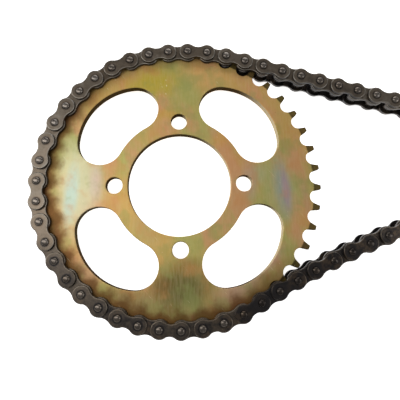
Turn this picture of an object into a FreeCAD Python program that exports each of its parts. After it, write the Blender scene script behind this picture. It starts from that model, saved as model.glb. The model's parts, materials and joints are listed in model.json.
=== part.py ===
import FreeCAD, Part
import math
import os
import Sketcher

# Motorcycle drive chain: a roller chain closed round a 43-tooth rear sprocket and a
# 14-tooth front sprocket.  Millimetres.  The sprockets' axes stand along +Z, the origin is
# the centre of the rear sprocket's bore, and +X points towards the front sprocket.

# name, value, what it is
DIMENSIONS = [
    ("pitch", 12.7, "distance from pin to pin"),
    ("roller_dia", 8.51, "roller outside diameter"),
    ("inner_width", 7.94, "gap between the two inner plates"),
    ("roller_play", 0.10, "end play of a roller, each side"),
    ("plate_thick", 2.0, "thickness of every link plate"),
    ("inner_height", 11.8, "height of an inner plate round its bush"),
    ("inner_waist", 8.6, "height of an inner plate at its waist"),
    ("outer_height", 10.6, "height of an outer plate round its pin"),
    ("outer_waist", 7.0, "height of an outer plate at its waist"),
    ("plate_gap", 0.10, "gap between an inner and an outer plate"),
    ("pin_dia", 4.5, "pin diameter"),
    ("pin_stand", 1.2, "length of pin that stands out of the outer plate"),
    ("pin_bevel", 0.45, "bevel round the end of a pin"),
    ("bush_dia", 6.0, "bush outside diameter"),
    ("run_gap", 0.05, "radial running clearance of pins and rollers"),
    ("sprocket_thick", 7.0, "thickness of both sprockets"),
    ("tip_height", 3.0, "height of the tooth tips over the pitch circle"),
    ("tip_bevel", 1.4, "how much thinner each side of a tooth is at its tip"),
    ("tip_slope", 5.4, "height of the sloping part of a tooth, down from its tip"),
    ("rear_seat_gap", 0.06, "clearance between a roller and its rear seat"),
    ("rear_teeth", 43, "teeth of the rear sprocket"),
    ("rear_flank", 15, "lean of the rear tooth flanks, degrees"),
    ("bore_dia", 65.0, "bore of the rear sprocket"),
    ("bolt_circle", 81.5, "diameter of the circle of bolt holes"),
    ("bolt_dia", 10.4, "bolt hole diameter"),
    ("bolt_count", 4, "bolt holes, and windows between them"),
    ("window_root", 42.5, "radius of the inner edge of a window"),
    ("window_lobe", 14.4, "radius of the two ends of a window"),
    ("window_spread", 16.0, "angle from a window's middle to the centre of its end"),
    ("window_crown", 74.8, "radius of the outer edge at a window's middle"),
    ("front_teeth", 14, "teeth of the front sprocket"),
    ("front_flank", 30, "lean of the front tooth flanks, degrees"),
    ("front_seat_gap", 0.20, "clearance between a roller and its front seat"),
    ("spline_minor", 17.0, "bore between the spline grooves"),
    ("spline_major", 20.0, "bore across the spline grooves"),
    ("spline_width", 4.6, "width of a spline groove"),
    ("spline_count", 6, "spline grooves"),
    ("keeper_spacing", 32.0, "distance between the two keeper plate holes"),
    ("keeper_dia", 5.0, "diameter of the keeper plate holes"),
    ("clip_thick", 0.8, "thickness of the spring clip"),
    ("clip_rim", 1.9, "width of the clip outside the pin grooves"),
    ("clip_slot", 2.4, "width of the slot between the clip's legs"),
    ("groove_depth", 0.5, "depth of the clip groove in a pin"),
    ("wrap_links", 24, "links that lie on the rear sprocket"),
    ("lift_links", 4, "links that ride up where the upper run leaves the teeth"),
    ("lift_share", 0.75, "turn at each of those, as a share of the tooth angle"),
    ("upper_links", 13, "links of the upper run"),
    ("lower_links", 12, "links of the lower run, the connecting link last"),
    ("front_wrap_links", 6, "links that lie on the front sprocket"),
]

doc = FreeCAD.newDocument("DriveChain")
nodes = []


def make_sheet():
    sheet = doc.addObject("Spreadsheet::Sheet", "Sheet")
    for row, (name, value, meaning) in enumerate(DIMENSIONS, start=1):
        sheet.set("A%d" % row, name)
        sheet.set("B%d" % row, str(value))
        sheet.set("C%d" % row, meaning)
        sheet.setAlias("B%d" % row, name)
    doc.recompute()
    return sheet


sheet = make_sheet()


def size(name):
    return float(sheet.get(name))


def whole(name):
    return int(round(size(name)))


def bind(thing, prop, formula):
    """Tie a property to the sheet; names in braces become cells."""
    text = formula
    for name, _, _ in DIMENSIONS:
        text = text.replace("{" + name + "}", "Sheet." + name)
    thing.setExpression(prop, text)


def finish_node(thing, label):
    thing.Label = label
    nodes.append(thing)
    return thing


# ---------------------------------------------------------------- sketches and features

V1 = FreeCAD.Vector
Z_AXIS = V1(0, 0, 1)
START, END, CENTRE = 1, 2, 3
X_LINE, Y_LINE = -1, -2


def new_body(name):
    return doc.addObject("PartDesign::Body", name)


def new_sketch(body, name):
    sketch = body.newObject("Sketcher::SketchObject", name)
    plane = [f for f in body.Origin.OriginFeatures if f.Role == "XY_Plane"][0]
    sketch.AttachmentSupport = [(plane, "")]
    sketch.MapMode = "FlatFace"
    return sketch


def add_arc(sketch, cx, cy, radius, start, end):
    circle = Part.Circle(V1(cx, cy, 0), Z_AXIS, radius)
    return sketch.addGeometry(Part.ArcOfCircle(circle, math.radians(start), math.radians(end)))


def add_circle(sketch, cx, cy, radius):
    return sketch.addGeometry(Part.Circle(V1(cx, cy, 0), Z_AXIS, radius))


def add_line(sketch, x0, y0, x1, y1):
    return sketch.addGeometry(Part.LineSegment(V1(x0, y0, 0), V1(x1, y1, 0)))


def rule(sketch, kind, *items):
    return sketch.addConstraint(Sketcher.Constraint(kind, *items))


def sized(sketch, kind, *items):
    """A dimension whose last item is its formula."""
    formula = items[-1]
    index = rule(sketch, kind, *items[:-1])
    bind(sketch, "Constraints[%d]" % index, formula)
    return index


def centred_circle(sketch, radius, formula):
    ring = add_circle(sketch, 0, 0, radius)
    rule(sketch, "Coincident", ring, CENTRE, X_LINE, START)
    sized(sketch, "Radius", ring, radius, formula)
    return ring


def circle_on_y(sketch, height, radius, height_formula, radius_formula):
    ring = add_circle(sketch, 0, height, radius)
    rule(sketch, "PointOnObject", ring, CENTRE, Y_LINE)
    sized(sketch, "DistanceY", X_LINE, START, ring, CENTRE, height, height_formula)
    sized(sketch, "Radius", ring, radius, radius_formula)
    return ring


def pad(body, sketch, name, formula, both_sides=True):
    feature = body.newObject("PartDesign::Pad", name)
    feature.Profile = sketch
    feature.Midplane = both_sides
    bind(feature, "Length", formula)
    doc.recompute()
    return feature


def cut_round(body, sketch, name, count_formula):
    """Pocket a sketch right through the plate and repeat it round the axis."""
    before = body.Shape.Volume
    pocket = body.newObject("PartDesign::Pocket", name)
    pocket.Profile = sketch
    pocket.Midplane = True
    pocket.Type = "ThroughAll"
    doc.recompute()
    if body.Shape.Volume >= before:
        raise RuntimeError(name + " cuts nothing")
    pattern = body.newObject("PartDesign::PolarPattern", name + "Round")
    pattern.Originals = [pocket]
    pattern.Axis = (sketch, ["N_Axis"])
    pattern.Angle = 360
    bind(pattern, "Occurrences", count_formula)
    body.Tip = pattern
    doc.recompute()
    return pattern


# ---------------------------------------------------------------- sprockets

def pitch_radius(teeth):
    return size("pitch") / 2 / math.sin(math.pi / teeth)


def radius_formula(teeth_name):
    return "({pitch} / 2 / sin(180deg / {" + teeth_name + "}))"


def sprocket_blank(name, teeth_name, bore_name):
    body = new_body(name)
    radius = pitch_radius(size(teeth_name))
    sketch = new_sketch(body, name + "Blank")
    centred_circle(sketch, radius + size("tip_height"), radius_formula(teeth_name) + " + {tip_height}")
    centred_circle(sketch, size(bore_name) / 2, "{" + bore_name + "} / 2")
    blank = pad(body, sketch, name + "Pad", "{sprocket_thick}")
    rim = []
    for index, edge in enumerate(blank.Shape.Edges, start=1):
        is_round = isinstance(edge.Curve, Part.Circle)
        if is_round and edge.Curve.Radius > radius:
            rim.append("Edge%d" % index)
    bevel = body.newObject("PartDesign::Chamfer", name + "Bevel")
    bevel.Base = (blank, rim)
    bevel.ChamferType = "Two distances"
    bind(bevel, "Size", "{tip_bevel}")
    bind(bevel, "Size2", "{tip_slope}")
    doc.recompute()
    tip = radius + size("tip_height")
    flat_rims = [e.Curve.Radius for e in body.Shape.Edges if isinstance(e.Curve, Part.Circle)]
    if min(abs(r - tip + size("tip_slope")) for r in flat_rims) > size("run_gap"):
        bevel.FlipDirection = True
        doc.recompute()
    return body


def tooth_gaps(body, name, teeth_name, flank_name, gap_name):
    """One roller seat with two leaning flanks, open past the tips, once for every tooth.

    The seat lies half a tooth off the Y axis, so a tooth stands on that axis.
    """
    teeth = size(teeth_name)
    lean = math.radians(size(flank_name))
    centre_y = pitch_radius(teeth)
    seat = size("roller_dia") / 2 + size(gap_name)
    top_y = centre_y + 2 * size("tip_height")
    low_x = seat * math.cos(lean)
    low_y = centre_y - seat * math.sin(lean)
    top_x = low_x + (top_y - low_y) * math.tan(lean)
    lean_degrees = size(flank_name)

    sketch = new_sketch(body, name + "Gap")
    half_tooth = 180.0 / teeth
    sketch.AttachmentOffset = FreeCAD.Placement(V1(0, 0, 0), FreeCAD.Rotation(Z_AXIS, half_tooth))
    bind(sketch, "AttachmentOffset.Rotation.Angle", "180deg / {" + teeth_name + "}")
    arc = add_arc(sketch, 0, centre_y, seat, 180 + lean_degrees, 360 - lean_degrees)
    right = add_line(sketch, low_x, low_y, top_x, top_y)
    top = add_line(sketch, top_x, top_y, -top_x, top_y)
    left = add_line(sketch, -top_x, top_y, -low_x, low_y)
    rule(sketch, "Tangent", arc, END, right, START)
    rule(sketch, "Coincident", right, END, top, START)
    rule(sketch, "Coincident", top, END, left, START)
    rule(sketch, "Tangent", left, END, arc, START)
    rule(sketch, "PointOnObject", arc, CENTRE, Y_LINE)
    rule(sketch, "Symmetric", top, START, top, END, Y_LINE)
    sized(sketch, "Radius", arc, seat, "{roller_dia} / 2 + {" + gap_name + "}")
    sized(sketch, "DistanceY", X_LINE, START, arc, CENTRE, centre_y, radius_formula(teeth_name))
    sized(sketch, "DistanceY", X_LINE, START, top, START, top_y,
          radius_formula(teeth_name) + " + 2 * {tip_height}")
    sized(sketch, "Angle", right, math.pi / 2 - lean, "90deg - {" + flank_name + "} * 1deg")
    cut_round(body, sketch, name + "Teeth", "{" + teeth_name + "}")


def window_sketch(body, name):
    """One kidney-shaped window: inner arc, crowned outer arc and a round lobe at each end."""
    root = size("window_root")
    lobe = size("window_lobe")
    spread = math.radians(size("window_spread"))
    crown = size("window_crown")
    lobe_x = (root + lobe) * math.sin(spread)
    lobe_y = (root + lobe) * math.cos(spread)
    centre_y = ((crown - lobe) ** 2 - (root + lobe) ** 2) / (2 * (crown - lobe - lobe_y))
    outer = crown - centre_y
    spread_degrees = size("window_spread")
    top_angle = math.degrees(math.atan2(lobe_y - centre_y, lobe_x))

    sketch = new_sketch(body, name)
    half_spacing = 180.0 / whole("bolt_count")
    sketch.AttachmentOffset = FreeCAD.Placement(V1(0, 0, 0), FreeCAD.Rotation(Z_AXIS, half_spacing))
    bind(sketch, "AttachmentOffset.Rotation.Angle", "180deg / {bolt_count}")
    inside = add_arc(sketch, 0, 0, root, 90 - spread_degrees, 90 + spread_degrees)
    crown_arc = add_arc(sketch, 0, centre_y, outer, top_angle, 180 - top_angle)
    right = add_arc(sketch, lobe_x, lobe_y, lobe, -90 - spread_degrees, top_angle)
    left = add_arc(sketch, -lobe_x, lobe_y, lobe, 180 - top_angle, 270 + spread_degrees)
    rule(sketch, "Tangent", inside, START, right, START)
    rule(sketch, "Tangent", right, END, crown_arc, START)
    rule(sketch, "Tangent", crown_arc, END, left, START)
    rule(sketch, "Tangent", left, END, inside, END)
    rule(sketch, "Coincident", inside, CENTRE, X_LINE, START)
    rule(sketch, "PointOnObject", crown_arc, CENTRE, Y_LINE)
    rule(sketch, "Equal", right, left)
    sized(sketch, "Radius", inside, root, "{window_root}")
    sized(sketch, "Radius", right, lobe, "{window_lobe}")
    sized(sketch, "DistanceX", X_LINE, START, right, CENTRE, lobe_x,
          "({window_root} + {window_lobe}) * sin({window_spread} * 1deg)")
    sized(sketch, "DistanceY", X_LINE, START, crown_arc, CENTRE, centre_y,
          "(({window_crown} - {window_lobe}) ^ 2 - ({window_root} + {window_lobe}) ^ 2)"
          " / (2 * ({window_crown} - {window_lobe}"
          " - ({window_root} + {window_lobe}) * cos({window_spread} * 1deg)))")
    return sketch


def make_rear_sprocket():
    body = sprocket_blank("RearSprocket", "rear_teeth", "bore_dia")
    holes = new_sketch(body, "BoltHole")
    circle_on_y(holes, size("bolt_circle") / 2, size("bolt_dia") / 2, "{bolt_circle} / 2", "{bolt_dia} / 2")
    cut_round(body, holes, "BoltHoles", "{bolt_count}")
    cut_round(body, window_sketch(body, "Window"), "Windows", "{bolt_count}")
    tooth_gaps(body, "Rear", "rear_teeth", "rear_flank", "rear_seat_gap")
    return finish_node(body, "rear_sprocket")


def make_front_sprocket(centre, turn):
    body = sprocket_blank("FrontSprocket", "front_teeth", "spline_minor")
    groove = new_sketch(body, "SplineGroove")
    half = size("spline_width") / 2
    low, high = size("spline_minor") / 4, size("spline_major") / 2
    bottom = add_line(groove, -half, low, half, low)
    right = add_line(groove, half, low, half, high)
    top = add_line(groove, half, high, -half, high)
    left = add_line(groove, -half, high, -half, low)
    for first, second in ((bottom, right), (right, top), (top, left), (left, bottom)):
        rule(groove, "Coincident", first, END, second, START)
    rule(groove, "Horizontal", bottom)
    rule(groove, "Vertical", right)
    rule(groove, "Symmetric", top, START, top, END, Y_LINE)
    sized(groove, "DistanceX", top, END, top, START, 2 * half, "{spline_width}")
    sized(groove, "DistanceY", X_LINE, START, bottom, START, low, "{spline_minor} / 4")
    sized(groove, "DistanceY", X_LINE, START, top, START, high, "{spline_major} / 2")
    cut_round(body, groove, "SplineGrooves", "{spline_count}")
    keeper = new_sketch(body, "KeeperHole")
    circle_on_y(keeper, size("keeper_spacing") / 2, size("keeper_dia") / 2,
                "{keeper_spacing} / 2", "{keeper_dia} / 2")
    cut_round(body, keeper, "KeeperHoles", "2")
    tooth_gaps(body, "Front", "front_teeth", "front_flank", "front_seat_gap")
    body.Placement = FreeCAD.Placement(V1(centre[0], centre[1], 0), FreeCAD.Rotation(Z_AXIS, turn))
    doc.recompute()
    return finish_node(body, "front_sprocket")


# ---------------------------------------------------------------- chain pieces, lying along X

# levels above the middle plane, and lengths, as formulas
INNER_FACE = "{inner_width} / 2"
OUTER_FACE = "({inner_width} / 2 + {plate_thick} + {plate_gap})"
PIN_LENGTH = "2 * ({inner_width} / 2 + 2 * {plate_thick} + {plate_gap} + {pin_stand})"
CLIP_LEVEL = "({inner_width} / 2 + 2 * {plate_thick} + {plate_gap} + {run_gap} + {clip_thick} / 2)"
CLIP_TOP = "({inner_width} / 2 + 2 * {plate_thick} + {plate_gap} + {clip_thick} + {pin_stand})"


def waist_radius(half_pitch, end, waist):
    return (half_pitch ** 2 + waist ** 2 - end ** 2) / (2 * (end - waist))


def make_plate(name, height_name, waist_name, hole_name):
    """A figure-eight plate with a hole at each end, from z = 0 up."""
    hole_radius = size(hole_name) / 2
    half_pitch = size("pitch") / 2
    end = size(height_name) / 2
    waist = size(waist_name) / 2
    blend = waist_radius(half_pitch, end, waist)
    blend_y = waist + blend
    lean = math.degrees(math.atan2(blend_y, half_pitch))

    body = new_body(name)
    sketch = new_sketch(body, name + "Outline")
    right = add_arc(sketch, half_pitch, 0, end, -180 + lean, 180 - lean)
    upper = add_arc(sketch, 0, blend_y, blend, -180 + lean, -lean)
    left = add_arc(sketch, -half_pitch, 0, end, lean, 360 - lean)
    lower = add_arc(sketch, 0, -blend_y, blend, lean, 180 - lean)
    rule(sketch, "Tangent", right, END, upper, END)
    rule(sketch, "Tangent", upper, START, left, START)
    rule(sketch, "Tangent", left, END, lower, END)
    rule(sketch, "Tangent", lower, START, right, START)
    rule(sketch, "Symmetric", left, CENTRE, right, CENTRE, X_LINE, START)
    rule(sketch, "PointOnObject", right, CENTRE, X_LINE)
    rule(sketch, "Equal", left, right)
    rule(sketch, "Equal", upper, lower)
    sized(sketch, "DistanceX", left, CENTRE, right, CENTRE, 2 * half_pitch, "{pitch}")
    sized(sketch, "Radius", right, end, "{%s} / 2" % height_name)
    formula = "(({pitch} / 2) ^ 2 + ({W} / 2) ^ 2 - ({H} / 2) ^ 2) / ({H} - {W})"
    formula = formula.replace("{W}", "{%s}" % waist_name).replace("{H}", "{%s}" % height_name)
    sized(sketch, "Radius", upper, blend, formula)
    for side in (left, right):
        centre_x = -half_pitch if side == left else half_pitch
        hole = add_circle(sketch, centre_x, 0, hole_radius)
        rule(sketch, "Coincident", hole, CENTRE, side, CENTRE)
        sized(sketch, "Radius", hole, hole_radius, "{" + hole_name + "} / 2")
    pad(body, sketch, name + "Pad", "{plate_thick}", both_sides=False)
    return body


def make_cylinder(name, radius_formula_text, height_formula):
    cylinder = doc.addObject("Part::Cylinder", name)
    bind(cylinder, "Radius", radius_formula_text)
    bind(cylinder, "Height", height_formula)
    bind(cylinder, "Placement.Base.z", "-(" + height_formula + ") / 2")
    return cylinder


def make_ring(name, outer_formula, inner_formula, height_formula):
    outside = make_cylinder(name + "Outside", outer_formula, height_formula)
    inside = make_cylinder(name + "Inside", inner_formula, height_formula)
    ring = doc.addObject("Part::Cut", name)
    ring.Base = outside
    ring.Tool = inside
    return ring


def make_pin():
    pin = make_cylinder("PinRound", "{pin_dia} / 2", PIN_LENGTH)
    doc.recompute()
    bevel = doc.addObject("Part::Chamfer", "Pin")
    bevel.Base = pin
    rims = [i for i, e in enumerate(pin.Shape.Edges, start=1) if isinstance(e.Curve, Part.Circle)]
    bevel.Edges = [(i, size("pin_bevel"), size("pin_bevel")) for i in rims]
    return bevel


def make_stub():
    """The part of a pin inside one outer plate, for the pivot where the loop is open."""
    return make_cylinder("PinStub", "{pin_dia} / 2", "{plate_thick} + {pin_stand}")


def placed(name, pieces, x=0.0, y=0.0, turn=0.0, z_formula=None):
    """A group of pieces set down at a place of its own."""
    group = doc.addObject("Part::Compound", name)
    group.Links = pieces
    group.Placement = FreeCAD.Placement(V1(x, y, 0), FreeCAD.Rotation(Z_AXIS, turn))
    if z_formula:
        bind(group, "Placement.Base.z", z_formula)
    return group


def pair_along(name, piece):
    """The same round piece at both ends of a link."""
    both = []
    for side, sign in (("Back", "-"), ("Fore", "")):
        one = placed(name + side, [piece])
        bind(one, "Placement.Base.x", sign + "{pitch} / 2")
        both.append(one)
    return both


def make_link_pieces():
    """Every kind of chain piece once, for a link that lies on the X axis."""
    inner = make_plate("InnerPlate", "inner_height", "inner_waist", "bush_dia")
    outer = make_plate("OuterPlate", "outer_height", "outer_waist", "pin_dia")
    bush = make_ring("Bush", "{bush_dia} / 2", "{pin_dia} / 2 + {run_gap}",
                     "{inner_width} + 2 * {plate_thick}")
    roller = make_ring("Roller", "{roller_dia} / 2", "{bush_dia} / 2 + {run_gap}",
                       "{inner_width} - 2 * {roller_play}")
    pieces = {
        "inner_plates": [
            placed("InnerPlateNear", [inner], z_formula=INNER_FACE),
            placed("InnerPlateFar", [inner], z_formula="-" + INNER_FACE + " - {plate_thick}"),
        ],
        "outer_plates": [
            placed("OuterPlateNear", [outer], z_formula=OUTER_FACE),
            placed("OuterPlateFar", [outer], z_formula="-" + OUTER_FACE + " - {plate_thick}"),
        ],
        "bushes": pair_along("BushOf", bush),
        "rollers": pair_along("RollerOf", roller),
        "pins": pair_along("PinOf", make_pin()),
    }
    doc.recompute()
    return pieces


INNER_KINDS = ("inner_plates", "bushes", "rollers")
OUTER_KINDS = ("outer_plates", "pins")


# ---------------------------------------------------------------- the route of the pins

def step(point, heading):
    angle = math.radians(heading)
    return (point[0] + size("pitch") * math.cos(angle), point[1] + size("pitch") * math.sin(angle))


def seat_angle(index):
    """Angle of a rear seat; seat 0 is the last one before the upper run lifts off."""
    tooth = 360.0 / whole("rear_teeth")
    return 90 + tooth / 2 + index * tooth


def seat_point(index):
    angle = math.radians(seat_angle(index))
    radius = pitch_radius(whole("rear_teeth"))
    return (radius * math.cos(angle), radius * math.sin(angle))


def walk(point, heading, turns):
    """Points and headings of links that follow one another, each after its turn."""
    points, headings = [point], []
    for turn in turns:
        heading += turn
        headings.append(heading)
        points.append(step(points[-1], heading))
    return points, headings


def route(bows):
    """The pins of the upper and the lower side, from the rear sprocket to the front one.

    bows holds the turn at each pin of the upper run, the turn at each pin of the lower run,
    and the turn where the lower run leaves the rear sprocket, in degrees.
    """
    upper_bow, lower_bow, release = bows
    tooth = 360.0 / whole("rear_teeth")
    front_tooth = 360.0 / whole("front_teeth")
    lift = [-size("lift_share") * tooth] * whole("lift_links")
    over = lift + [upper_bow] * whole("upper_links") + [-front_tooth] * whole("front_wrap_links")
    top = walk(seat_point(0), seat_angle(0) + tooth / 2 - 90, over)
    last_seat = whole("wrap_links")
    under = [tooth, release] + [-lower_bow] * (whole("lower_links") - 1)
    bottom = walk(seat_point(last_seat), seat_angle(last_seat) - tooth / 2 + 90, under)
    return top, bottom


def closing_error(bows):
    top, bottom = route(bows)
    gap_x = top[0][-1][0] - bottom[0][-1][0]
    gap_y = top[0][-1][1] - bottom[0][-1][1]
    facing = top[1][-1] + 180 - (bottom[1][-1] - bows[1])
    facing = (facing + 180) % 360 - 180
    return [gap_x, gap_y, facing]


def solve_three(rows, right):
    """Cramer's rule for three equations."""
    def determinant(m):
        return (m[0][0] * (m[1][1] * m[2][2] - m[1][2] * m[2][1])
                - m[0][1] * (m[1][0] * m[2][2] - m[1][2] * m[2][0])
                + m[0][2] * (m[1][0] * m[2][1] - m[1][1] * m[2][0]))
    whole_value = determinant(rows)
    answers = []
    for column in range(3):
        swapped = [list(row) for row in rows]
        for line in range(3):
            swapped[line][column] = right[line]
        answers.append(determinant(swapped) / whole_value)
    return answers


def solve_bows():
    """Find the three turns that close the loop, by Newton's method."""
    bows = [0.2, 1.5, 0.5]
    nudge = 1e-5
    for _ in range(60):
        error = closing_error(bows)
        columns = []
        for index in range(3):
            moved = list(bows)
            moved[index] += nudge
            changed = closing_error(moved)
            columns.append([(changed[i] - error[i]) / nudge for i in range(3)])
        rows = [[columns[j][i] for j in range(3)] for i in range(3)]
        change = solve_three(rows, [-e for e in error])
        bows = [b + c for b, c in zip(bows, change)]
        if max(abs(c) for c in change) < 1e-11:
            return bows
    raise RuntimeError("the chain does not close")


def front_centre(top):
    """Centre of the front sprocket, and the turn that puts its seats under the pins."""
    points, headings = top
    first = len(points) - 1 - whole("front_wrap_links")
    heading = math.radians(headings[first])
    radius = pitch_radius(whole("front_teeth"))
    drop = radius * math.cos(math.pi / whole("front_teeth"))
    middle_x = (points[first][0] + points[first + 1][0]) / 2
    middle_y = (points[first][1] + points[first + 1][1]) / 2
    centre = (middle_x + drop * math.sin(heading), middle_y - drop * math.cos(heading))
    # a tooth stands between two pins, and before it is turned it stands on the Y axis
    turn = headings[first]
    return centre, turn


# ---------------------------------------------------------------- setting the links down

def set_link(name, pieces, kinds, start, end):
    """Place the pieces of one link between two pins."""
    middle_x = (start[0] + end[0]) / 2
    middle_y = (start[1] + end[1]) / 2
    turn = math.degrees(math.atan2(end[1] - start[1], end[0] - start[0]))
    members = [piece for kind in kinds for piece in pieces[kind]]
    return placed(name, members, middle_x, middle_y, turn)


def make_wrap(label, pieces, points, first_is_outer):
    """The links that lie on a sprocket: one node for each kind of piece."""
    outer_start = 0 if first_is_outer else 1
    for kinds, parity in ((OUTER_KINDS, outer_start), (INNER_KINDS, 1 - outer_start)):
        for kind in kinds:
            members = []
            for index in range(parity, len(points) - 1, 2):
                name = "%s_%s_%02d" % (label, kind, index)
                members.append(set_link(name, pieces, (kind,), points[index], points[index + 1]))
            finish_node(placed(label + kind.title(), members), "%s_%s" % (label, kind))


def make_run(label, pieces, points, first_is_outer):
    """The links of a free stretch: one node for each link."""
    for index in range(len(points) - 1):
        is_outer = (index % 2 == 0) == first_is_outer
        kinds = OUTER_KINDS if is_outer else INNER_KINDS
        name = "%s_%02d" % (label, index + 1)
        finish_node(set_link("Link_" + name, pieces, kinds, points[index], points[index + 1]), name)


def make_clip():
    """The flat spring clip of the connecting link, its mouth at the back end."""
    grip = "({pin_dia} / 2 - {groove_depth} + {run_gap})"
    rim = "({pin_dia} / 2 + {clip_rim})"
    outline = []
    holes = []
    for side, sign in (("Back", "-"), ("Fore", "")):
        outside = make_cylinder("ClipEnd" + side, rim, "{clip_thick}")
        inside = make_cylinder("ClipGrip" + side, grip, "{clip_thick}")
        for piece in (outside, inside):
            bind(piece, "Placement.Base.x", sign + "{pitch} / 2")
        outline.append(outside)
        holes.append(inside)
    for name, half_width, start, end, group in (
            ("ClipWeb", rim, "-{pitch} / 2", "{pitch} / 2", outline),
            ("ClipSlot", "({clip_slot} / 2)", "-{pitch} / 2", "{pitch} / 2", holes),
            ("ClipMouth", "({clip_slot} / 2)", "-{pitch} / 2 - " + rim, "-{pitch} / 2", holes)):
        box = doc.addObject("Part::Box", name)
        bind(box, "Length", "(" + end + ") - (" + start + ")")
        bind(box, "Width", "2 * " + half_width)
        bind(box, "Height", "{clip_thick}")
        bind(box, "Placement.Base.x", start)
        bind(box, "Placement.Base.y", "-" + half_width)
        bind(box, "Placement.Base.z", "-{clip_thick} / 2")
        group.append(box)
    plate = doc.addObject("Part::MultiFuse", "ClipOutline")
    plate.Shapes = outline
    opening = doc.addObject("Part::MultiFuse", "ClipOpening")
    opening.Shapes = holes
    clip = doc.addObject("Part::Cut", "Clip")
    clip.Base = plate
    clip.Tool = opening
    return clip


def make_grooved_pin(name, length_formula, top_formula):
    """A pin of the connecting link, with the groove that the clip grips."""
    core = doc.addObject("Part::Cylinder", name + "Round")
    bind(core, "Radius", "{pin_dia} / 2")
    bind(core, "Height", length_formula)
    bind(core, "Placement.Base.z", top_formula + " - (" + length_formula + ")")
    cutter = make_ring(name + "Groove", "{pin_dia}", "{pin_dia} / 2 - {groove_depth}",
                       "{clip_thick} + 2 * {run_gap}")
    lowered = placed(name + "GrooveAt", [cutter], z_formula=CLIP_LEVEL)
    pin = doc.addObject("Part::Cut", name)
    pin.Base = core
    pin.Tool = lowered
    return pin


def make_connecting_link(pieces, start, end):
    """The link that opens: a plate with two pins, a loose plate and a spring clip.

    Its fore pin is the pivot where the modelled loop is open.  That pin keeps its two ends,
    in the plates, and leaves out its middle, inside the bush of the next link.
    """
    full = make_grooved_pin("ConnectingPin", "2 * " + OUTER_FACE + " + 2 * {plate_thick} + {clip_thick}"
                            " + 2 * {pin_stand}", CLIP_TOP)
    head = make_grooved_pin("ConnectingPinHead", "{plate_thick} + {clip_thick} + {pin_stand}", CLIP_TOP)
    foot = placed("ConnectingPinFoot", [make_stub()],
                  z_formula="-" + OUTER_FACE + " - ({plate_thick} + {pin_stand}) / 2")
    near_plate, far_plate = pieces["outer_plates"]
    back = placed("ConnectingBack", [full])
    bind(back, "Placement.Base.x", "-{pitch} / 2")
    fore = placed("ConnectingFore", [head, foot])
    bind(fore, "Placement.Base.x", "{pitch} / 2")
    clip = placed("ClipAt", [make_clip()], z_formula=CLIP_LEVEL)
    groups = {
        "connecting_pins": [far_plate, back, fore],
        "connecting_plate": [near_plate],
        "connecting_clip": [clip],
    }
    for kind, members in groups.items():
        name = kind.replace("connecting", "connecting_link")
        finish_node(set_link("Node_" + name, {kind: members}, (kind,), start, end), name)


def make_chain():
    pieces = make_link_pieces()
    top, bottom = route(solve_bows())
    lift, upper = whole("lift_links"), whole("upper_links")
    on_front = top[0][lift + upper:]
    on_rear = [seat_point(index) for index in range(whole("wrap_links") + 1)]
    upper_is_outer = lift % 2 == 1
    make_wrap("rear_wrap", pieces, on_rear, True)
    make_run("seating_link", pieces, top[0][:lift + 1], False)
    make_run("upper_run_link", pieces, top[0][lift:lift + upper + 1], upper_is_outer)
    make_wrap("front_wrap", pieces, on_front, (upper % 2 == 0) == upper_is_outer)
    make_run("release_link", pieces, bottom[0][:2], True)
    make_run("lower_run_link", pieces, bottom[0][1:-1], False)
    make_connecting_link(pieces, bottom[0][-2], bottom[0][-1])
    return top


def check_and_write():
    doc.recompute()
    for thing in doc.Objects:
        if "Invalid" in thing.State or "Error" in thing.State:
            raise RuntimeError("%s failed: %s" % (thing.Name, thing.State))
    os.makedirs("parts", exist_ok=True)
    for node in nodes:
        if node.Shape.isNull() or not node.Shape.isValid():
            raise RuntimeError(node.Label + " has no valid shape")
        node.Shape.exportStep("parts/%s.step" % node.Label)
        print(node.Label, len(node.Shape.Solids), "solids", round(node.Shape.Volume, 1), "mm3")


make_rear_sprocket()
route_of_top = make_chain()
make_front_sprocket(*front_centre(route_of_top))
check_and_write()
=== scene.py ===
"""The looks of a motorcycle drive chain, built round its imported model.

Lengths are in metres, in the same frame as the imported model: the origin is the centre of the
rear sprocket's bore, +Z stands along the sprockets' axes and +X points to the front sprocket.
"""

import json
import logging
import math
from dataclasses import dataclass, field
from enum import Enum

import bmesh
import bpy
from mathutils import Matrix, Vector
from mathutils.geometry import tessellate_polygon


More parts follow.
